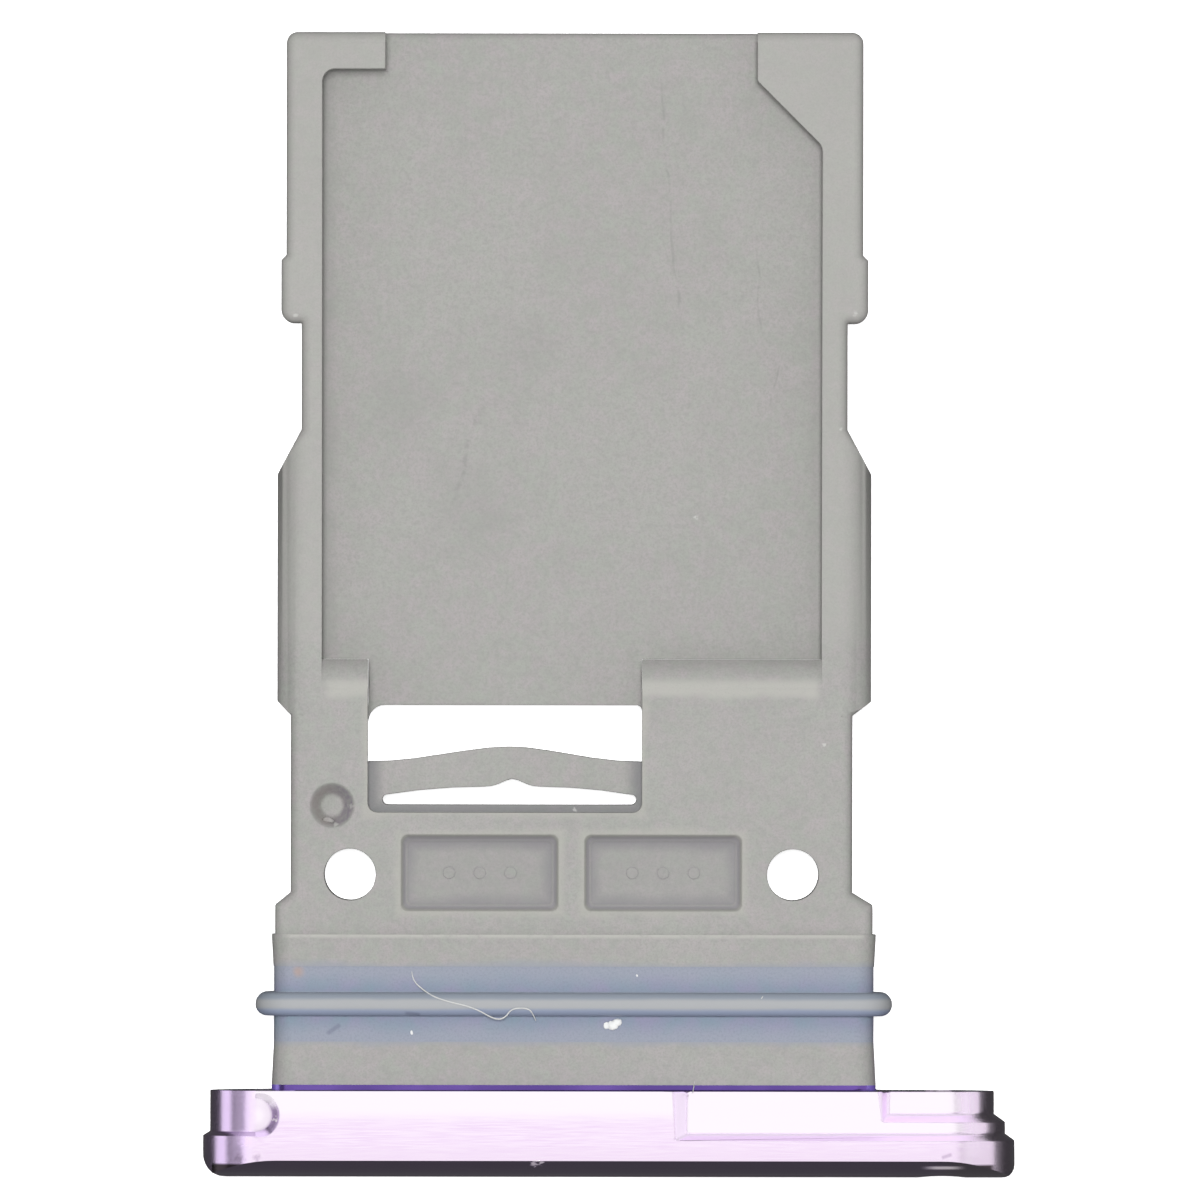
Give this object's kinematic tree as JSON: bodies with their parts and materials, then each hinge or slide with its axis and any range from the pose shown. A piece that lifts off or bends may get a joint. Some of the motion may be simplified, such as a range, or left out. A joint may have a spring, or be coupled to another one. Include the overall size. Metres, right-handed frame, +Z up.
{
  "type": "sim card tray",
  "caption": "Flat moulded tray that slides into a handset's side to hold a nano SIM card, with a spring bar, a rubber seal and a metal head with an eject-pin hole.",
  "frame": {"origin": "middle of the tray's plan box, level with the underside of the head", "axes": "+Y along the tray from the head to the far end, +Z up out of the card recess, +X to the side that has the eject-pin hole"},
  "size_m": [0.0144, 0.0204, 0.0026],
  "materials": {
    "carrier_plastic": "fine moulded satin, warm grey",
    "seal_rubber": "soft satin silicone, blue-grey",
    "head_metal": "brushed and anodised, pale violet"
  },
  "bodies": {
    "root": {"tray_carrier": "carrier_plastic", "seal_gasket": "seal_rubber", "head_bar": "head_metal"}
  },
  "joints": []
}
